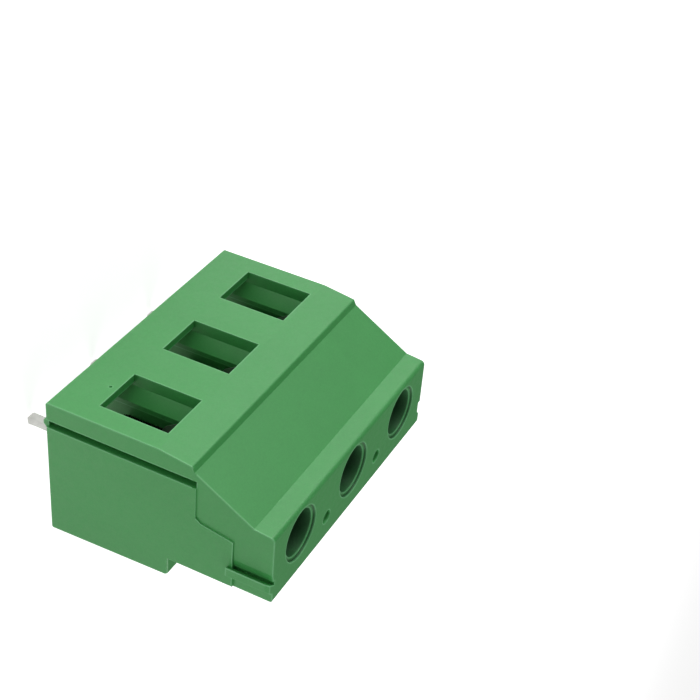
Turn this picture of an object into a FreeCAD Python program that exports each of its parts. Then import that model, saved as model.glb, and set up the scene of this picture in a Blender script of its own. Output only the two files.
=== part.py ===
import FreeCAD, Part
import math
import os

# Screw terminal for a circuit board, in millimetres.
# X runs along the row of poles, -Y is the front face with the wire windows, +Z is away from the board.
# The origin is the centre of the middle solder pin, on the plane of the board.
# Depths are measured back from the front face, heights up from the board.

# Row
POLES = 3
PITCH = 7.5
SCREW_DEPTH = 5.9
PIN_DEPTH = 5.6

# Current strip, folded from one tinned strip
STRIP = 0.6
FOLD_RADIUS = 0.55
PIN_LENGTH = 4.3
PIN_WIDTH = 0.8
PIN_EDGE_CHAMFER = 0.09
PIN_TIP_CHAMFER = 0.2
PLATE_HEIGHT = 0.5
PLATE_WIDTH = 1.44
NECK_END = 7.3
NECK_FLARE = 0.3
SHOULDER_START = 8.9
SHOULDER_LENGTH = 0.3
BAR_WIDTH = 1.3
BAR_HEIGHT = 6.3
BAR_TIP_DEPTH = 1.3
BAR_TIP_RISE = 1.7
BAR_FLARE_DEPTH = 2.35
BAR_TIP_RADIUS = 0.5
EAR_LENGTH = 0.8
EAR_GAP = 0.55

# Clamp cage
CAGE_WIDTH = 4.1
CAGE_DEPTH = 4.3
CAGE_SIDE = 0.6
CAGE_FLOOR = 0.8
CAGE_COLLAR = 2.2
CAGE_LIFT_GAP = 0.2
CAGE_TRAVEL = 2.5
CAGE_CORNER = 0.35
CAGE_CLEARANCE = 0.1
GRIP_GROOVES = 4
GRIP_GROOVE_WIDTH = 0.5
GRIP_GROOVE_DEPTH = 0.2

# Clamp screw
SHANK_RADIUS = 1.45
SHANK_TIP_CHAMFER = 0.35
THREAD_CLEARANCE = 0.05
TIP_GAP = 0.05
HEAD_RADIUS = 1.95
HEAD_HEIGHT = 2.2
HEAD_CHAMFER = 0.2
HEAD_CLEARANCE = 0.08
HEAD_GAP = 0.1
DRIVE_SLOT_WIDTH = 0.6
DRIVE_SLOT_DEPTH = 1.1

# Wire windows
WINDOW_WIDTH = 4.04
WINDOW_BOTTOM = 3.15
WINDOW_TOP = 8.42
FLOOR_BELOW_WINDOW = 0.1

# Housing walls
FRONT_WALL = 0.6
POLE_WALL = 0.88
END_WALL = 0.8
BACK_WALL = 0.65
BACK_LEAN = 0.25
UPPER_BACK_WALL = 1.05
TAIL_SPACE = 2.25
ROOF_WALL = 0.65
SHAFT_HEADROOM = 0.3
LIP_HEIGHT = 2.9

# Housing outline
FRONT_HEIGHT = 11.25
CREASE_HEIGHT = 8.75
FRONT_LEAN = 0.34
LEDGE_DEPTH = 0.42
LEDGE_RISE = 0.2
BAND_HEIGHT = 1.52
BAND_LEAN = 0.16
TOP_FRONT_WALL = 0.31
STEP_HEIGHT = 9.5
STEP_RADIUS = 0.3
CORNER_RADIUS = 0.18
TOP_EDGE_RADIUS = 0.35
EDGE_RADIUS = 0.15

# Driver holes
DRIVER_HOLE_RADIUS = 1.75
DRIVER_RIM = 0.28
DRIVER_RIM_DEPTH = 0.18

# Guide ribs beside each wire window
RIB_GAP = 2.9
RIB_START = 0.95
RIB_TIP_START = 2.0
RIB_TIP_END = 2.4
RIB_BACK_SLANT = 0.12
RIB_TOP_OVER_WINDOW = 0.3

# Knobs and feet at the back of each pocket
KNOB_GAP = 3.1
KNOB_DEPTH = 8.1
KNOB_LENGTH = 0.9
KNOB_HEIGHT = 2.1
KNOB_ROUND = 0.22
FOOT_LENGTH = 0.35

# Slots between the poles and recesses in the end walls
SLOT_DEPTH = 1.3
SLOT_BACK_WALL = 0.85
RECESS_START = 3.3
RECESS_SLANT = 0.3
RECESS_END = 7.2

# Interlock between rows: groove and rib at the +X end, tongue and notch at the -X end
GROOVE_DEPTH = 1.45
GROOVE_WIDTH = 0.5
GROOVE_INTO_END = 0.9
GROOVE_HEIGHT = 11.6
TONGUE_PLAY = 0.05
TONGUE_REACH = 0.6
RIB_DEPTH = 7.3
RIB_FACE = 0.7
RIB_HEIGHT = 2.95
RIB_REACH = 0.3
RIB_LEAN = 0.45
RIB_BACK_SLOPE = 0.45
RIB_HEEL_STEP = 0.2
RIB_END_REACH = 0.35
RIB_TIP_LENGTH = 0.35
RIB_TIP_DROP = 0.12
RIB_SLOT_OFFSET = 0.02
RIB_SLOT_INTO_END = 0.4
RIB_SLOT_LEAD = 0.6
RIB_SLOT_LEAD_SINK = 0.12
NOTCH_PLAY = 0.1

# Stepped end face at the +X end
PANEL_STEP = 0.1
PANEL_KNEE_DEPTH = 4.45
PANEL_SLANT_DEPTH = 4.75
PANEL_SLANT_END = 5.2
PANEL_SLANT_RISE = 0.4

# Small marks of the mould
STOP_NUB_HEIGHT = 0.25
STOP_NUB_LENGTH = 0.9
STOP_NUB_SLANT = 0.3
STOP_NUB_WIDTH = 0.5
STOP_NUB_INSET = 0.05
CORE_HOLE_RADIUS = 0.43
CORE_HOLE_HEIGHT = 0.25
CORE_HOLE_DEPTH = 8.75
CORE_HOLE_INSET = 0.75
EJECTOR_RADIUS = 0.52
EJECTOR_SINK = 0.22
EJECTOR_DEPTH = 7.35
GATE_RADIUS = 0.12
GATE_SINK = 0.08
GATE_HEIGHT = 2.6

# Sizes that follow from the values above
POCKET_WIDTH = CAGE_WIDTH + 2 * CAGE_CLEARANCE
HOUSING_WIDTH = POLES * PITCH
SLOT_WIDTH = PITCH - POCKET_WIDTH - 2 * POLE_WALL
CAGE_FRONT = SCREW_DEPTH - CAGE_DEPTH / 2
CAGE_BACK = SCREW_DEPTH + CAGE_DEPTH / 2
POCKET_BACK = CAGE_BACK + TAIL_SPACE
LOWER_DEPTH = POCKET_BACK + BACK_WALL
STEP_DEPTH = LOWER_DEPTH - BACK_LEAN
UPPER_DEPTH = CAGE_BACK + CAGE_CLEARANCE + UPPER_BACK_WALL
LOWER_POCKET_HEIGHT = STEP_HEIGHT - ROOF_WALL
FRONT_POCKET_HEIGHT = FRONT_HEIGHT - ROOF_WALL
BAR_TOP = BAR_HEIGHT + STRIP
CAGE_FLOOR_TOP = WINDOW_BOTTOM - FLOOR_BELOW_WINDOW
CAGE_BOTTOM = CAGE_FLOOR_TOP - CAGE_FLOOR
COLLAR_BOTTOM = BAR_TOP + CAGE_LIFT_GAP
CAGE_TOP = COLLAR_BOTTOM + CAGE_COLLAR
SHAFT_TOP = CAGE_TOP + CAGE_TRAVEL + SHAFT_HEADROOM
SCREW_BOTTOM = BAR_TOP + TIP_GAP
HEAD_BOTTOM = SHAFT_TOP + HEAD_GAP
HEAD_TOP = HEAD_BOTTOM + HEAD_HEIGHT
CHAMBER_RADIUS = HEAD_RADIUS + HEAD_CLEARANCE
CHAMBER_TOP = HEAD_TOP + HEAD_GAP
HOUSING_HEIGHT = CHAMBER_TOP + LIP_HEIGHT
SLOPE_TOP = HOUSING_HEIGHT - BAND_HEIGHT
TOP_FRONT = SCREW_DEPTH - DRIVER_HOLE_RADIUS - DRIVER_RIM - TOP_FRONT_WALL
RIB_TOP = WINDOW_TOP + RIB_TOP_OVER_WINDOW
HOOK_HEIGHT = HOUSING_HEIGHT - RIB_HEIGHT
HOOK_END = RIB_DEPTH + RIB_FACE + RIB_BACK_SLOPE
GROOVE_MIDDLE = GROOVE_DEPTH + GROOVE_WIDTH / 2
JOINT_HEIGHT = FRONT_HEIGHT + LEDGE_RISE
OVERCUT = 1.0


def at(x, depth, height):
    """Point from its place along the row, its depth and its height."""
    return FreeCAD.Vector(x, depth - PIN_DEPTH, height)


def pole_places():
    """Pole centres along X, from the -X end."""
    first = -(POLES - 1) * PITCH / 2
    return [first + i * PITCH for i in range(POLES)]


def block(x_low, x_high, depth_low, depth_high, low, high):
    """Box between two places along X, two depths and two heights."""
    corner = at(x_low, depth_low, low)
    return Part.makeBox(x_high - x_low, depth_high - depth_low, high - low, corner)


def round_post(x, depth, low, high, radius):
    """Upright cylinder."""
    return Part.makeCylinder(radius, high - low, at(x, depth, low), FreeCAD.Vector(0, 0, 1))


def rounded_outline(corners):
    """Closed wire through corners given as (point, radius), with an arc wherever the radius isn't zero."""
    arcs = []
    count = len(corners)
    for i, (point, radius) in enumerate(corners):
        to_last = (corners[i - 1][0] - point).normalize()
        to_next = (corners[(i + 1) % count][0] - point).normalize()
        half = to_last.getAngle(to_next) / 2
        if radius == 0 or math.isclose(half, math.pi / 2):
            arcs.append((point, None, point))
            continue
        reach = radius / math.tan(half)
        middle = (to_last + to_next).normalize()
        bulge = point + middle * (radius / math.sin(half) - radius)
        arcs.append((point + to_last * reach, bulge, point + to_next * reach))
    edges = []
    for i, (start, bulge, end) in enumerate(arcs):
        if bulge is not None:
            edges.append(Part.Arc(start, bulge, end).toShape())
        following = arcs[(i + 1) % count][0]
        edges.append(Part.LineSegment(end, following).toShape())
    return Part.Wire(edges)


def side_prism(corners, x_low, x_high):
    """Solid between two places along X from a side outline of (depth, height, radius)."""
    outline = rounded_outline([(at(x_low, depth, height), r) for depth, height, r in corners])
    return Part.Face(outline).extrude(FreeCAD.Vector(x_high - x_low, 0, 0))


def front_prism(corners, depth_low, depth_high):
    """Solid between two depths from a front outline of (x, height, radius)."""
    outline = rounded_outline([(at(x, depth_low, height), r) for x, height, r in corners])
    return Part.Face(outline).extrude(FreeCAD.Vector(0, depth_high - depth_low, 0))


def plan_prism(corners, low, high):
    """Solid between two heights from a plan outline of (x, depth, radius)."""
    outline = rounded_outline([(at(x, depth, low), r) for x, depth, r in corners])
    return Part.Face(outline).extrude(FreeCAD.Vector(0, 0, high - low))


def housing_block():
    """Outer form of the housing, with its long and end edges rounded."""
    end = HOUSING_WIDTH / 2
    outline = [
        (0, 0, CORNER_RADIUS),
        (0, CREASE_HEIGHT, 0),
        (FRONT_LEAN, FRONT_HEIGHT, CORNER_RADIUS),
        (FRONT_LEAN + LEDGE_DEPTH, FRONT_HEIGHT + LEDGE_RISE, 0),
        (TOP_FRONT - BAND_LEAN, SLOPE_TOP, 0),
        (TOP_FRONT, HOUSING_HEIGHT, TOP_EDGE_RADIUS),
        (UPPER_DEPTH, HOUSING_HEIGHT, CORNER_RADIUS),
        (UPPER_DEPTH, STEP_HEIGHT, 0),
        (STEP_DEPTH, STEP_HEIGHT, STEP_RADIUS),
        (LOWER_DEPTH, 0, CORNER_RADIUS),
    ]
    body = side_prism(outline, -end, end)
    end_edges = [e for e in body.Edges if abs(abs(e.CenterOfMass.x) - end) < EDGE_RADIUS / 2]
    return body.makeFillet(EDGE_RADIUS, end_edges)


def pocket_section(x, with_ribs):
    """Plan outline of one pocket: window mouth, guide ribs, then the cage's space to the back wall."""
    side = POCKET_WIDTH / 2
    mouth = WINDOW_WIDTH / 2
    rib = RIB_GAP / 2
    foot = KNOB_GAP / 2
    if with_ribs:
        half = [
            (mouth, FRONT_WALL, 0),
            (mouth, RIB_START, 0),
            (rib, RIB_TIP_START, 0),
            (rib, RIB_TIP_END, 0),
            (side, RIB_TIP_END + RIB_BACK_SLANT, 0),
        ]
    else:
        half = [(mouth, FRONT_WALL, 0), (mouth, RIB_START, 0), (side, RIB_TIP_START, 0)]
    half += [
        (side, POCKET_BACK - FOOT_LENGTH, 0),
        (foot, POCKET_BACK - FOOT_LENGTH, 0),
        (foot, POCKET_BACK, 0),
    ]
    right = [(x + half_width, depth, r) for half_width, depth, r in half]
    left = [(x - half_width, depth, r) for half_width, depth, r in reversed(half)]
    return right + left


def pole_cavity(x):
    """All that is hollow in one pole: window, pocket, cage shaft, head chamber and driver hole."""
    side = POCKET_WIDTH / 2
    mouth = WINDOW_WIDTH / 2
    shaft_front = CAGE_FRONT - CAGE_CLEARANCE
    shaft_back = CAGE_BACK + CAGE_CLEARANCE
    window = block(x - mouth, x + mouth, -OVERCUT, RIB_START, WINDOW_BOTTOM, WINDOW_TOP)
    lower = plan_prism(pocket_section(x, True), -OVERCUT, RIB_TOP)
    middle = plan_prism(pocket_section(x, False), RIB_TOP, LOWER_POCKET_HEIGHT)
    upper = block(x - mouth, x + mouth, FRONT_WALL, shaft_back, LOWER_POCKET_HEIGHT, FRONT_POCKET_HEIGHT)
    shaft = block(x - side, x + side, shaft_front, shaft_back, LOWER_POCKET_HEIGHT, SHAFT_TOP)
    chamber = round_post(x, SCREW_DEPTH, SHAFT_TOP, CHAMBER_TOP, CHAMBER_RADIUS)
    hole = round_post(x, SCREW_DEPTH, CHAMBER_TOP, HOUSING_HEIGHT + OVERCUT, DRIVER_HOLE_RADIUS)
    rim_low = HOUSING_HEIGHT - DRIVER_RIM_DEPTH
    rim = round_post(x, SCREW_DEPTH, rim_low, HOUSING_HEIGHT + OVERCUT, DRIVER_HOLE_RADIUS + DRIVER_RIM)
    cavity = lower.fuse([window, middle, upper, shaft, chamber, hole, rim])
    return cavity.cut([pocket_knob(x, 1), pocket_knob(x, -1)]).removeSplitter()


def pocket_knob(x, hand):
    """Knob on one side wall of a pocket, near its back, beside the board."""
    wall = x + hand * (POCKET_WIDTH / 2 + OVERCUT)
    tip = x + hand * KNOB_GAP / 2
    corners = [
        (wall, KNOB_DEPTH, 0),
        (tip, KNOB_DEPTH, KNOB_ROUND),
        (tip, KNOB_DEPTH + KNOB_LENGTH, KNOB_ROUND),
        (wall, KNOB_DEPTH + KNOB_LENGTH, 0),
    ]
    return plan_prism(corners, 0, KNOB_HEIGHT)


def pole_slot(x):
    """Slot between two poles, open at the board."""
    half = SLOT_WIDTH / 2
    return block(x - half, x + half, SLOT_DEPTH, LOWER_DEPTH - SLOT_BACK_WALL, -OVERCUT, LOWER_POCKET_HEIGHT)


def end_recess(hand):
    """Recess in the outer wall of an end pole, open at the board."""
    pole = hand * (POLES - 1) * PITCH / 2
    inner = pole + hand * (POCKET_WIDTH / 2 - CAGE_CLEARANCE)
    outer = hand * (HOUSING_WIDTH / 2 - END_WALL)
    corners = [
        (inner, RECESS_START, 0),
        (outer, RECESS_START + RECESS_SLANT, 0),
        (outer, RECESS_END, 0),
        (inner, RECESS_END, 0),
    ]
    return plan_prism(corners, -OVERCUT, LOWER_POCKET_HEIGHT)


def end_panel_cut():
    """Thin layer off the +X end, above the groove and around the top, which leaves the lower panel proud."""
    end = HOUSING_WIDTH / 2
    knee = GROOVE_HEIGHT
    outline = [
        (-OVERCUT, -OVERCUT, 0),
        (GROOVE_DEPTH, -OVERCUT, 0),
        (GROOVE_DEPTH, knee, 0),
        (PANEL_KNEE_DEPTH, knee, 0),
        (PANEL_SLANT_DEPTH, knee + PANEL_SLANT_RISE, 0),
        (PANEL_SLANT_END, HOOK_HEIGHT, 0),
        (UPPER_DEPTH + OVERCUT, HOOK_HEIGHT, 0),
        (UPPER_DEPTH + OVERCUT, HOUSING_HEIGHT + OVERCUT, 0),
        (-OVERCUT, HOUSING_HEIGHT + OVERCUT, 0),
    ]
    return side_prism(outline, end - PANEL_STEP, end + OVERCUT)


def interlock_cuts():
    """Groove and seat of the hooked rib at the +X end, and the notch at the -X end."""
    end = HOUSING_WIDTH / 2
    out = end + OVERCUT
    top = HOUSING_HEIGHT + OVERCUT
    slot_start = RIB_DEPTH + RIB_SLOT_OFFSET
    face_end = RIB_DEPTH + RIB_FACE
    groove = block(end - GROOVE_INTO_END, out, GROOVE_DEPTH, GROOVE_DEPTH + GROOVE_WIDTH, -OVERCUT, GROOVE_HEIGHT)
    seat = block(end - RIB_SLOT_INTO_END, out, slot_start, HOOK_END, HOOK_HEIGHT, top)
    heel = block(end - RIB_HEEL_STEP, out, HOOK_END, UPPER_DEPTH + OVERCUT, HOOK_HEIGHT, top)
    lead_edge = [
        (end - PANEL_STEP, slot_start - RIB_SLOT_LEAD, 0),
        (out, slot_start - RIB_SLOT_LEAD, 0),
        (out, slot_start, 0),
        (end - PANEL_STEP - RIB_SLOT_LEAD_SINK, slot_start, 0),
    ]
    lead = plan_prism(lead_edge, HOOK_HEIGHT, top)
    notch_bottom = -end + RIB_REACH + NOTCH_PLAY
    slope = RIB_BACK_SLOPE * (RIB_REACH + NOTCH_PLAY) / (RIB_REACH + RIB_HEEL_STEP)
    notch_edge = [
        (-out, RIB_DEPTH - NOTCH_PLAY, 0),
        (notch_bottom, RIB_DEPTH - NOTCH_PLAY, 0),
        (notch_bottom, face_end + NOTCH_PLAY, 0),
        (-end, face_end + NOTCH_PLAY + slope, 0),
        (-out, face_end + NOTCH_PLAY + slope, 0),
    ]
    notch = plan_prism(notch_edge, HOOK_HEIGHT - RIB_END_REACH - NOTCH_PLAY, top)
    return [groove, seat, heel, lead, notch]


def hooked_rib():
    """Rib at the +X end that leans towards the front and slopes away at its back, thinner at the top."""
    end = HOUSING_WIDTH / 2
    root = end - RIB_SLOT_INTO_END
    outer = end + RIB_REACH
    plan = [
        (root, RIB_DEPTH + RIB_LEAN, 0),
        (outer, RIB_DEPTH, 0),
        (outer, RIB_DEPTH + RIB_FACE, 0),
        (end - RIB_HEEL_STEP, HOOK_END, 0),
        (root, HOOK_END, 0),
    ]
    tip = [
        (outer, HOUSING_HEIGHT - RIB_TIP_LENGTH, 0),
        (outer + OVERCUT, HOUSING_HEIGHT - RIB_TIP_LENGTH, 0),
        (outer + OVERCUT, HOUSING_HEIGHT + OVERCUT, 0),
        (outer - RIB_TIP_DROP, HOUSING_HEIGHT + OVERCUT, 0),
        (outer - RIB_TIP_DROP, HOUSING_HEIGHT, 0),
    ]
    rib = plan_prism(plan, HOOK_HEIGHT - RIB_END_REACH, HOUSING_HEIGHT)
    return rib.cut(front_prism(tip, RIB_DEPTH - OVERCUT, HOOK_END))


def interlock_additions():
    """Rib at the +X end, tongue at the -X end, and the stop nub that closes the groove at the board."""
    end = HOUSING_WIDTH / 2
    tongue = block(
        -end - TONGUE_REACH,
        -end + EDGE_RADIUS,
        GROOVE_DEPTH + TONGUE_PLAY,
        GROOVE_DEPTH + GROOVE_WIDTH - TONGUE_PLAY,
        EDGE_RADIUS,
        JOINT_HEIGHT,
    )
    nub_outer = end - PANEL_STEP - STOP_NUB_INSET
    nub_back = GROOVE_MIDDLE + STOP_NUB_LENGTH / 2
    nub_edge = [
        (nub_back - STOP_NUB_LENGTH, CORNER_RADIUS, 0),
        (nub_back - STOP_NUB_LENGTH, 0, 0),
        (nub_back - STOP_NUB_LENGTH + STOP_NUB_SLANT, -STOP_NUB_HEIGHT, 0),
        (nub_back - STOP_NUB_SLANT, -STOP_NUB_HEIGHT, 0),
        (nub_back, 0, 0),
        (nub_back, CORNER_RADIUS, 0),
    ]
    nub = side_prism(nub_edge, nub_outer - STOP_NUB_WIDTH, nub_outer)
    return [hooked_rib(), tongue, nub]


def mould_marks():
    """Core hole beside the +X pocket, ejector dimples between the driver holes, and the gate's dimple."""
    end_pole = pole_places()[-1]
    core_x = HOUSING_WIDTH / 2 - CORE_HOLE_INSET
    marks = [round_post(core_x, CORE_HOLE_DEPTH, -OVERCUT, CORE_HOLE_HEIGHT, CORE_HOLE_RADIUS)]
    for pole in pole_places()[:-1]:
        low = HOUSING_HEIGHT - EJECTOR_SINK
        marks.append(round_post(pole + PITCH / 2, EJECTOR_DEPTH, low, low + OVERCUT, EJECTOR_RADIUS))
    gate_start = at(end_pole, GATE_SINK, GATE_HEIGHT)
    marks.append(Part.makeCylinder(GATE_RADIUS, OVERCUT, gate_start, FreeCAD.Vector(0, -1, 0)))
    return marks


def housing():
    """Moulded housing, open at the board."""
    middles = [pole + PITCH / 2 for pole in pole_places()[:-1]]
    cuts = [pole_cavity(pole) for pole in pole_places()]
    cuts += [pole_slot(x) for x in middles]
    cuts += [end_recess(1), end_recess(-1)]
    body = housing_block().cut([end_panel_cut()])
    body = body.cut(cuts + interlock_cuts() + mould_marks())
    body = body.fuse(interlock_additions())
    return body.removeSplitter()


def housing_halves():
    """The moulding as two solids that meet face to face at the foot of the sloped front: lower, then upper."""
    moulding = housing()
    room = moulding.BoundBox
    room.enlarge(OVERCUT)
    sides = (room.XMin, room.XMax, room.YMin + PIN_DEPTH, room.YMax + PIN_DEPTH)
    lower = block(*sides, room.ZMin, JOINT_HEIGHT)
    upper = block(*sides, JOINT_HEIGHT, room.ZMax)
    return moulding.common(lower), moulding.common(upper)


def strip_fold(path, width):
    """Strip of one thickness along a folded side path of (depth, height, fold radius), centred on X."""
    half = STRIP / 2
    points = [FreeCAD.Vector(0, depth, height) for depth, height, fold in path]
    folds = [fold for depth, height, fold in path]
    sides = []
    for hand in (1, -1):
        corners = []
        for i, point in enumerate(points):
            before = (point - points[i - 1]).normalize() if i > 0 else None
            after = (points[i + 1] - point).normalize() if i + 1 < len(points) else None
            heading = before or after
            leaving = after or before
            turn = heading.y * leaving.z - heading.z * leaving.y
            normal = FreeCAD.Vector(0, -heading.z, heading.y) + FreeCAD.Vector(0, -leaving.z, leaving.y)
            normal.normalize()
            spread = math.cos(heading.getAngle(leaving) / 2)
            place = point + normal * (hand * half / spread)
            inside = turn * hand > 0
            radius = 0
            if folds[i] > 0:
                radius = folds[i] - half if inside else folds[i] + half
            corners.append((place.y, place.z, radius))
        sides.append(corners)
    outline = sides[0] + sides[1][::-1]
    return side_prism(outline, -width / 2, width / 2)


def solder_pin():
    """Straight pin below the board's plane, with chamfered long edges and a tapered tip."""
    side = PIN_WIDTH / 2
    face = STRIP / 2
    side_view = tapered_outline(PIN_DEPTH, face)
    front_view = tapered_outline(0, side)
    plan = [(-side, PIN_DEPTH - face), (side, PIN_DEPTH - face), (side, PIN_DEPTH + face), (-side, PIN_DEPTH + face)]
    bar = plan_prism([(x, depth, 0) for x, depth in plan], -PIN_LENGTH, 0)
    bar = bar.makeChamfer(PIN_EDGE_CHAMFER, upright_edges(bar))
    bar = bar.common(side_prism(side_view, -side, side))
    return bar.common(front_prism(front_view, PIN_DEPTH - face, PIN_DEPTH + face))


def tapered_outline(middle, half):
    """Outline of the pin in one view, as (place, height, radius), narrower over its last stretch."""
    taper = PIN_LENGTH - PIN_TIP_CHAMFER
    narrow = half - PIN_TIP_CHAMFER / 2
    return [
        (middle - half, 0, 0),
        (middle - half, -taper, 0),
        (middle - narrow, -PIN_LENGTH, 0),
        (middle + narrow, -PIN_LENGTH, 0),
        (middle + half, -taper, 0),
        (middle + half, 0, 0),
    ]


def contact(x):
    """One contact: solder pin, plate over the board, riser at the back wall and current bar to the front."""
    plate_middle = PLATE_HEIGHT + STRIP / 2
    riser_middle = POCKET_BACK - STRIP / 2
    bar_middle = BAR_HEIGHT + STRIP / 2
    path = [
        (PIN_DEPTH, -PIN_LENGTH, 0),
        (PIN_DEPTH, plate_middle, FOLD_RADIUS),
        (riser_middle, plate_middle, FOLD_RADIUS),
        (riser_middle, bar_middle, FOLD_RADIUS),
        (BAR_FLARE_DEPTH, bar_middle, FOLD_RADIUS),
        (BAR_TIP_DEPTH, bar_middle + BAR_TIP_RISE, 0),
    ]
    strip = strip_fold(path, PLATE_WIDTH)
    pin = PIN_WIDTH / 2
    plate = PLATE_WIDTH / 2
    bar = BAR_WIDTH / 2
    shoulder = SHOULDER_START + SHOULDER_LENGTH
    pin_front = PIN_DEPTH - STRIP / 2
    split = (PLATE_HEIGHT + BAR_HEIGHT) / 2
    plate_plan = [
        (pin, pin_front - OVERCUT, 0),
        (pin, NECK_END, 0),
        (plate, NECK_END + NECK_FLARE, 0),
        (plate, SHOULDER_START, 0),
        (bar, shoulder, 0),
        (bar, POCKET_BACK + OVERCUT, 0),
    ]
    mirrored = [(-half_width, depth, r) for half_width, depth, r in reversed(plate_plan)]
    plate_mask = plan_prism(plate_plan + mirrored, 0, split)
    bar_plan = [
        (-bar, BAR_TIP_DEPTH - STRIP / 2, BAR_TIP_RADIUS),
        (bar, BAR_TIP_DEPTH - STRIP / 2, BAR_TIP_RADIUS),
        (bar, POCKET_BACK + OVERCUT, 0),
        (-bar, POCKET_BACK + OVERCUT, 0),
    ]
    bar_mask = plan_prism(bar_plan, split, bar_middle + BAR_TIP_RISE + OVERCUT)
    ear_end = POCKET_BACK - STRIP - EAR_GAP
    ear_side = POCKET_WIDTH / 2
    ears = block(-ear_side, ear_side, ear_end - EAR_LENGTH, ear_end, BAR_HEIGHT, BAR_TOP)
    shape = strip.common(plate_mask.fuse(bar_mask)).fuse([solder_pin(), ears]).removeSplitter()
    shape.translate(FreeCAD.Vector(x, 0, 0))
    return shape


def upright_edges(shape):
    """Straight edges that run along Z."""
    return [e for e in shape.Edges if e.BoundBox.ZLength > e.BoundBox.XLength + e.BoundBox.YLength]


def clamp_cage(x):
    """Cage around the current bar, with a threaded collar above it and a grooved floor below the wire."""
    half = CAGE_WIDTH / 2
    inner = half - CAGE_SIDE
    outline = [
        (-half, CAGE_BOTTOM, CAGE_CORNER),
        (half, CAGE_BOTTOM, CAGE_CORNER),
        (half, CAGE_TOP, CAGE_CORNER),
        (-half, CAGE_TOP, CAGE_CORNER),
    ]
    cage = front_prism(outline, CAGE_FRONT, CAGE_BACK)
    window = block(-inner, inner, CAGE_FRONT - OVERCUT, CAGE_BACK + OVERCUT, CAGE_FLOOR_TOP, COLLAR_BOTTOM)
    bore = round_post(0, SCREW_DEPTH, COLLAR_BOTTOM - OVERCUT, CAGE_TOP + OVERCUT, SHANK_RADIUS + THREAD_CLEARANCE)
    cuts = [window, bore]
    spacing = CAGE_DEPTH / (GRIP_GROOVES + 1)
    for i in range(GRIP_GROOVES):
        middle = CAGE_FRONT + (i + 1) * spacing
        groove = [
            (middle - GRIP_GROOVE_WIDTH / 2, CAGE_FLOOR_TOP, 0),
            (middle + GRIP_GROOVE_WIDTH / 2, CAGE_FLOOR_TOP, 0),
            (middle, CAGE_FLOOR_TOP - GRIP_GROOVE_DEPTH, 0),
        ]
        cuts.append(side_prism(groove, -inner, inner))
    cage = cage.cut(cuts)
    cage.translate(FreeCAD.Vector(x, 0, 0))
    return cage


def clamp_screw(x):
    """Slotted clamp screw, with its tip on the current bar and its head in the chamber under the driver hole."""
    shank = round_post(0, SCREW_DEPTH, SCREW_BOTTOM, HEAD_BOTTOM, SHANK_RADIUS)
    tip = [e for e in shank.Edges if abs(e.CenterOfMass.z - SCREW_BOTTOM) < TIP_GAP]
    shank = shank.makeChamfer(SHANK_TIP_CHAMFER, tip)
    head = round_post(0, SCREW_DEPTH, HEAD_BOTTOM, HEAD_TOP, HEAD_RADIUS)
    rim = [e for e in head.Edges if abs(e.CenterOfMass.z - HEAD_TOP) < HEAD_CHAMFER / 2]
    head = head.makeChamfer(HEAD_CHAMFER, rim)
    half_slot = DRIVE_SLOT_WIDTH / 2
    slot = block(
        -HEAD_RADIUS - OVERCUT,
        HEAD_RADIUS + OVERCUT,
        SCREW_DEPTH - half_slot,
        SCREW_DEPTH + half_slot,
        HEAD_TOP - DRIVE_SLOT_DEPTH,
        HEAD_TOP + OVERCUT,
    )
    screw = shank.fuse(head).removeSplitter().cut(slot)
    screw.translate(FreeCAD.Vector(x, 0, 0))
    return screw


def write(name, shape):
    """Writes one sub-part, after a look at its solids."""
    solid_count = len(shape.Solids)
    print(name, "solids", solid_count, "valid", shape.isValid(), "volume", round(shape.Volume, 3))
    if solid_count == 1:
        shape = shape.Solids[0]
    shape.exportStep("parts/" + name + ".step")


def main():
    os.makedirs("parts", exist_ok=True)
    lower, upper = housing_halves()
    write("housing_lower", lower)
    write("housing_upper", upper)
    for number, pole in enumerate(pole_places(), start=1):
        write("contact_" + str(number), contact(pole))
        write("clamp_cage_" + str(number), clamp_cage(pole))
        write("clamp_screw_" + str(number), clamp_screw(pole))


main()
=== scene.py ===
"""Looks of a screw terminal for a circuit board: materials, floor, soft studio light and camera."""

import bpy
from mathutils import Matrix, Vector

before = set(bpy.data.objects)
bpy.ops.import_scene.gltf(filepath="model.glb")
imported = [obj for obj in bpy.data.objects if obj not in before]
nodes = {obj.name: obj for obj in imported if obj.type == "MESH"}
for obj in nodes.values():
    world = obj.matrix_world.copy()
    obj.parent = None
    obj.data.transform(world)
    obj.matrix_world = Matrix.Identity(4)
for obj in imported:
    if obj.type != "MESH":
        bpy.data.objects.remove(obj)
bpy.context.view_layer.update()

# All lengths below are in millimetres and the scene is in metres
MM = 0.001

# Camera, as solved from the photograph
CAMERA_PLACE = (72.776, -67.537, 49.039)
CAMERA_RIGHT = (-0.45788, -0.07462, 0.88588)
CAMERA_DOWN = (0.49607, 0.80546, 0.32425)
CAMERA_FORWARD = (-0.73774, 0.58793, -0.33179)
CAMERA_LENS = 77.52
CAMERA_SENSOR = 36.0
CAMERA_NEAR = 5.0
CAMERA_FAR = 10000.0

# Height at which the two halves of the housing meet, in the crease at the foot of the sloped front
JOINT_HEIGHT = 11.45

# Painted shade in the driver holes: distance between the poles, reach of the painted shade round a pole's middle, and
# its height and share
POLE_PITCH = 7.5
HOLE_REACH = 2.2
HOLE_SHADE_FROM = 13.0
HOLE_SHADE_TO = 14.0
HOLE_SHADE_SHARE = 0.85

# Edges and cavities are found by how much light reaches them, for the painted highlight on edges and the painted
# shade in cavities: reach, and the light at which each starts and is full
EDGE_REACH = 0.13
METAL_GLINT_REACH = 0.07
CAVITY_REACH = 5.0
EDGE_LIGHT = (0.97, 0.65)
CAVITY_LIGHT = (0.85, 0.45)
EDGE_HIGHLIGHT_SHARE = 0.9
METAL_GLINT_SHARE = 0.6
LIGHT_SAMPLES = 8
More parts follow.
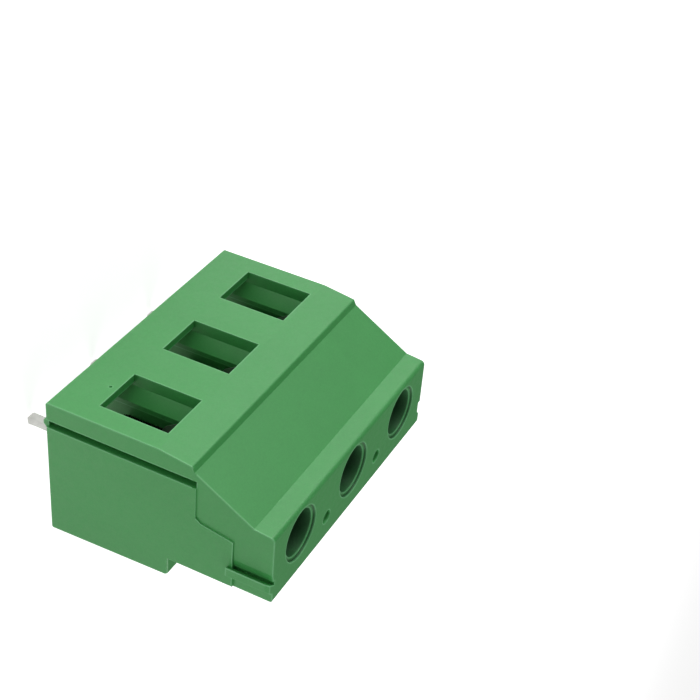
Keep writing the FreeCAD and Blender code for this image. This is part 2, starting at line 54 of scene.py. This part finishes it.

# Painted shade: the contacts and cages are painted dark inside the moulding, from the board's plane upwards, with a
# painted highlight on their edges
METAL_SHADE_FROM = 0.0
METAL_SHADE_TO = 0.8

# Noises: cells to the millimetre, detail, stretch along the axes and roughness
FLOW_MARKS = {"scale": 0.16, "detail": 4.0, "stretch": (1.0, 1.0, 0.45), "roughness": 0.6}
SPARK_GRAIN = {"scale": 9.0}
GLOSS_PATCHES = {"scale": 2.2, "detail": 4.0}
SWELLS = {"scale": 0.5, "detail": 2.0}
METAL_SPOTS = {"scale": 1.3, "detail": 4.0}
CONTACT_LINES = {"scale": 14.0, "detail": 5.0, "stretch": (1.0, 0.12, 0.12), "roughness": 0.65}
CAGE_LINES = {"scale": 12.0, "detail": 5.0, "stretch": (0.3, 0.3, 1.0), "roughness": 0.65}
SCREW_LINES = {"scale": 10.0, "detail": 5.0, "stretch": (1.0, 1.0, 0.15), "roughness": 0.65}

# The part of a noise's range over which a tone or a roughness changes
NOISE_MIDDLE = (0.35, 0.65)
NOISE_RANGE = (0.3, 0.7)
SPOT_LIMITS = (0.4, 0.65)
LINE_LIMITS = (0.35, 0.7)

# Tones at the two ends of that part
FLOW_TONES = (0.95, 1.05)
GRAIN_TONES = (0.9, 1.1)
SPOT_TONES = (1.0, 0.78)
LINE_TONES = (0.82, 1.05)

# Share of the grain against the flow marks, and of the drawn lines against the spots
GRAIN_SHARE = 0.45
LINE_SHARE = 0.5

# Bumps: height and strength
GRAIN_BUMP = (0.012, 0.35)
SWELL_BUMP = (0.03, 0.12)
LINE_BUMP = (0.015, 0.4)

PLASTIC_ROUGHNESS = (0.4, 0.52)
PLASTIC_IOR = 1.6
CONTACT_ROUGHNESS = (0.27, 0.44)
CAGE_ROUGHNESS = (0.19, 0.36)
SCREW_ROUGHNESS = (0.23, 0.4)

GREEN = (0.05, 0.33, 0.076)
# Painted highlight colour for the plastic's outer edges
HIGHLIGHT_GREEN = (0.15, 0.5, 0.2)
# Painted shade colour, laid down in the driver holes
HOLE_SHADE_GREEN = (0.02, 0.06, 0.03)
TIN = (0.6, 0.59, 0.57)
ZINC = (0.4, 0.4, 0.4)
STEEL = (0.6, 0.6, 0.58)
# Painted shade colour for the metal inside the moulding
METAL_SHADE_COLOUR = (0.05, 0.05, 0.048)
WHITE = (1.0, 1.0, 1.0)

# Floor under the tips of the solder pins. The camera sees it lifted to white. Gloss rays see it glow, a glow that
# paints a reflection on the part, stronger in front of the part than behind it.
FLOOR_HEIGHT = -4.4
FLOOR_SIZE = 3000.0
FLOOR_COLOUR = (0.9, 0.9, 0.9)
FLOOR_ROUGHNESS = 0.9
FLOOR_SPECULAR = 0.1
FLOOR_LIFT = 0.7
SHEEN_IN_FRONT = 1.0
SHEEN_BEHIND = 0.3
SHEEN_TURN = 18.0

# Strength of the light from all round; the camera itself sees it as white
WORLD_LIGHT = 0.24

# Lamps: place, side of the square and watts. All are turned to the middle of the part.
LAMP_TARGET = (0, 0, 6)
LAMPS = {
    "key": ((-120, -430, 40), 350, 1.9),
    "end": ((430, 0, 20), 250, 0.42),
    "back": ((60, 380, 230), 300, 1.2),
}


class Nodes:
    """A material's node tree, with short calls for the nodes that the finishes share."""

    def __init__(self, name):
        self.material = bpy.data.materials.new(name)
        self.material.use_nodes = True
        self.tree = self.material.node_tree
        self.shader = self.tree.nodes["Principled BSDF"]
        self.place = self.add("ShaderNodeTexCoord").outputs["Object"]

    def add(self, kind, **values):
        node = self.tree.nodes.new(kind)
        for key, value in values.items():
            setattr(node, key, value)
        return node

    def feed(self, socket, value):
        """Link an output to a socket, or set a colour or number there."""
        if isinstance(value, bpy.types.NodeSocket):
            self.tree.links.new(value, socket)
        elif isinstance(value, tuple):
            socket.default_value = (*value, 1.0)
        else:
            socket.default_value = value

    def shade(self, **values):
        """Set the shader's inputs, with _ for a space in their names."""
        for name, value in values.items():
            self.feed(self.shader.inputs[name.replace("_", " ")], value)

    def noise(self, scale, detail=3.0, stretch=(1.0, 1.0, 1.0), roughness=0.5):
        """Noise with so many cells to the millimetre, stretched along the axes."""
        mapping = self.add("ShaderNodeMapping")
        mapping.inputs["Scale"].default_value = [scale * s / MM for s in stretch]
        self.feed(mapping.inputs["Vector"], self.place)
        noise = self.add("ShaderNodeTexNoise")
        noise.inputs["Scale"].default_value = 1.0
        noise.inputs["Detail"].default_value = detail
        noise.inputs["Roughness"].default_value = roughness
        self.feed(noise.inputs["Vector"], mapping.outputs["Vector"])
        return noise.outputs["Fac"]

    def ramp(self, value, start, end, to_start=0.0, to_end=1.0):
        """Value from one range carried to another."""
        ramp = self.add("ShaderNodeMapRange")
        limits = {"From Min": start, "From Max": end, "To Min": to_start, "To Max": to_end}
        for name, number in limits.items():
            ramp.inputs[name].default_value = number
        self.feed(ramp.inputs["Value"], value)
        return ramp.outputs["Result"]

    def mix(self, factor, first, second):
        """Colour between two colours."""
        mix = self.add("ShaderNodeMix", data_type="RGBA")
        for name, value in (("Factor", factor), ("A", first), ("B", second)):
            self.feed(mix.inputs[name], value)
        return mix.outputs["Result"]

    def arithmetic(self, operation, *values):
        """What an operation makes of outputs and numbers."""
        node = self.add("ShaderNodeMath", operation=operation)
        for socket, value in zip(node.inputs, values):
            self.feed(socket, value)
        return node.outputs["Value"]

    def product(self, *values):
        """Outputs and numbers multiplied together."""
        result = values[0]
        for value in values[1:]:
            result = self.arithmetic("MULTIPLY", result, value)
        return result

    def bump(self, height, shape, before=None):
        bump = self.add("ShaderNodeBump")
        distance, strength = shape
        bump.inputs["Distance"].default_value = distance * MM
        bump.inputs["Strength"].default_value = strength
        self.feed(bump.inputs["Height"], height)
        if before is not None:
            self.feed(bump.inputs["Normal"], before)
        return bump.outputs["Normal"]

    def along(self, axis):
        """Place along one of the part's axes."""
        place = self.add("ShaderNodeSeparateXYZ")
        self.feed(place.inputs["Vector"], self.place)
        return place.outputs[axis]

    def light(self, reach, inside):
        """Light that reaches a point past what stands within reach, or through the solid under it."""
        light = self.add("ShaderNodeAmbientOcclusion", samples=LIGHT_SAMPLES, inside=inside, only_local=True)
        light.inputs["Distance"].default_value = reach * MM
        return light.outputs["AO"]

    def edges(self, reach):
        """1 on outer edges, 0 on flat faces."""
        return self.ramp(self.light(reach, True), *EDGE_LIGHT)

    def cavities(self, reach):
        """1 deep in holes, 0 on open faces."""
        return self.ramp(self.light(reach, False), *CAVITY_LIGHT)

    def height(self, low, high):
        """0 below one height over the board and 1 above another."""
        return self.ramp(self.along("Z"), low * MM, high * MM)

    def near_poles(self, reach):
        """1 within reach of a pole's middle along the row, 0 between the poles."""
        off_middle = self.arithmetic("PINGPONG", self.along("X"), POLE_PITCH / 2 * MM)
        return self.arithmetic("LESS_THAN", off_middle, reach * MM)

    def off_joint(self, reach):
        """0 within reach of the height where the two halves of the housing meet, 1 elsewhere."""
        near = self.arithmetic("COMPARE", self.along("Z"), JOINT_HEIGHT * MM, reach * MM)
        return self.ramp(near, 0.0, 1.0, 1.0, 0.0)

    def tone(self, noise, limits, colour, tones):
        """A colour times a tone that goes from one value to another between a noise's limits."""
        first, second = (tuple(c * tone for c in colour) for tone in tones)
        return self.mix(self.ramp(noise, *limits), first, second)


def moulded_plastic():
    """Green moulded plastic: spark-eroded grain, faint flow marks, a painted highlight on the edges and painted shade
    down in the driver holes.
    """
    m = Nodes("moulded_green_plastic")
    grain = m.noise(**SPARK_GRAIN)
    patch = m.tone(m.noise(**FLOW_MARKS), NOISE_MIDDLE, GREEN, FLOW_TONES)
    speck = m.tone(grain, NOISE_MIDDLE, GREEN, GRAIN_TONES)
    base = m.mix(GRAIN_SHARE, patch, speck)
    down = m.product(m.height(HOLE_SHADE_FROM, HOLE_SHADE_TO), m.near_poles(HOLE_REACH))
    # Painted shade: the base colour is darkened deep in the driver holes, where the light falls off
    hole_shade = m.product(m.cavities(CAVITY_REACH), down, HOLE_SHADE_SHARE)
    # Painted highlight: the outer edges of the plastic are painted paler, except at the joint between the halves
    edge_highlight = m.product(m.edges(EDGE_REACH), m.off_joint(EDGE_REACH), EDGE_HIGHLIGHT_SHARE)
    m.shade(
        Base_Color=m.mix(edge_highlight, m.mix(hole_shade, base, HOLE_SHADE_GREEN), HIGHLIGHT_GREEN),
        Roughness=m.ramp(m.noise(**GLOSS_PATCHES), *NOISE_RANGE, *PLASTIC_ROUGHNESS),
        IOR=PLASTIC_IOR,
        Normal=m.bump(m.noise(**SWELLS), SWELL_BUMP, m.bump(grain, GRAIN_BUMP)),
    )
    return m.material


def metal(name, colour, roughness, drawn, inside=None):
    """Plated metal with drawn lines along one axis, faint spots and, inside the moulding, painted shade with a
    painted highlight on the edges.
    """
    m = Nodes(name)
    lines = m.noise(**drawn)
    dull = m.tone(m.noise(**METAL_SPOTS), SPOT_LIMITS, colour, SPOT_TONES)
    streak = m.tone(lines, LINE_LIMITS, colour, LINE_TONES)
    plated = m.mix(LINE_SHARE, dull, streak)
    if inside is not None:
        # Painted shade on the metal inside the moulding, with a painted highlight along its edges
        edge_glint = m.mix(m.product(m.edges(METAL_GLINT_REACH), METAL_GLINT_SHARE), inside, colour)
        plated = m.mix(m.height(METAL_SHADE_FROM, METAL_SHADE_TO), plated, edge_glint)
    m.shade(
        Base_Color=plated,
        Metallic=1.0,
        Roughness=m.ramp(lines, *NOISE_RANGE, *roughness),
        Normal=m.bump(lines, LINE_BUMP),
    )
    return m.material


def put(material, stem):
    """One material on the CAD nodes whose names start with a stem."""
    for name in nodes:
        if not name.startswith(stem):
            continue
        slots = nodes[name].material_slots
        for slot in slots:
            slot.material = material
        if not slots:
            nodes[name].data.materials.append(material)


def floor():
    """Pale floor that keeps the part's shadow, and glows for gloss rays to paint a reflection on the part."""
    half = FLOOR_SIZE * MM / 2
    z = FLOOR_HEIGHT * MM
    mesh = bpy.data.meshes.new("floor")
    mesh.from_pydata([(-half, -half, z), (half, -half, z), (half, half, z), (-half, half, z)], [], [(0, 1, 2, 3)])
    plane = bpy.data.objects.new("floor", mesh)
    bpy.context.scene.collection.objects.link(plane)
    m = Nodes("pale_floor")
    path = m.add("ShaderNodeLightPath").outputs
    turn = SHEEN_TURN * MM
    # The floor glows for gloss rays only, which paints a reflection on the part, stronger in front than behind
    sheen = m.product(path["Is Glossy Ray"], m.ramp(m.along("Y"), -turn, turn, SHEEN_IN_FRONT, SHEEN_BEHIND))
    m.shade(
        Base_Color=FLOOR_COLOUR,
        Roughness=FLOOR_ROUGHNESS,
        Specular_IOR_Level=FLOOR_SPECULAR,
        Emission_Color=WHITE,
        Emission_Strength=m.arithmetic("MULTIPLY_ADD", path["Is Camera Ray"], FLOOR_LIFT, sheen),
    )
    mesh.materials.append(m.material)


def area_light(name, place, size, watts):
    """Soft square lamp, turned to the part."""
    data = bpy.data.lights.new(name, "AREA")
    data.size = size * MM
    data.energy = watts
    lamp = bpy.data.objects.new(name, data)
    bpy.context.scene.collection.objects.link(lamp)
    lamp.location = [c * MM for c in place]
    aim = Vector(LAMP_TARGET) - Vector(place)
    lamp.rotation_euler = aim.to_track_quat("-Z", "Y").to_euler()


def lighting():
    """Light from all round, a large key low in front, a lamp behind and a weak one at the +X end."""
    world = bpy.data.worlds.new("studio")
    bpy.context.scene.world = world
    world.use_nodes = True
    tree = world.node_tree
    background = tree.nodes["Background"]
    background.inputs["Color"].default_value = (*WHITE, 1.0)
    path = tree.nodes.new("ShaderNodeLightPath")
    strength = tree.nodes.new("ShaderNodeMapRange")
    strength.inputs["To Min"].default_value = WORLD_LIGHT
    tree.links.new(path.outputs["Is Camera Ray"], strength.inputs["Value"])
    tree.links.new(strength.outputs["Result"], background.inputs["Strength"])
    for name, (place, size, watts) in LAMPS.items():
        area_light(name, place, size, watts)


def camera():
    """Camera at the photograph's viewing angle."""
    data = bpy.data.cameras.new("camera")
    data.lens = CAMERA_LENS
    data.sensor_width = CAMERA_SENSOR
    data.clip_start = CAMERA_NEAR * MM
    data.clip_end = CAMERA_FAR * MM
    eye = bpy.data.objects.new("camera", data)
    bpy.context.scene.collection.objects.link(eye)
    right, down, forward = Vector(CAMERA_RIGHT), Vector(CAMERA_DOWN), Vector(CAMERA_FORWARD)
    turn = Matrix((right, -down, -forward)).transposed()
    eye.matrix_world = Matrix.Translation(Vector(CAMERA_PLACE) * MM) @ turn.to_4x4()
    bpy.context.scene.camera = eye


put(moulded_plastic(), "housing")
put(metal("tinned_contact", TIN, CONTACT_ROUGHNESS, CONTACT_LINES, METAL_SHADE_COLOUR), "contact")
put(metal("plated_cage", STEEL, CAGE_ROUGHNESS, CAGE_LINES, METAL_SHADE_COLOUR), "clamp_cage")
put(metal("plated_screw", ZINC, SCREW_ROUGHNESS, SCREW_LINES), "clamp_screw")
floor()
lighting()
camera()
bpy.context.scene.view_settings.view_transform = "Standard"
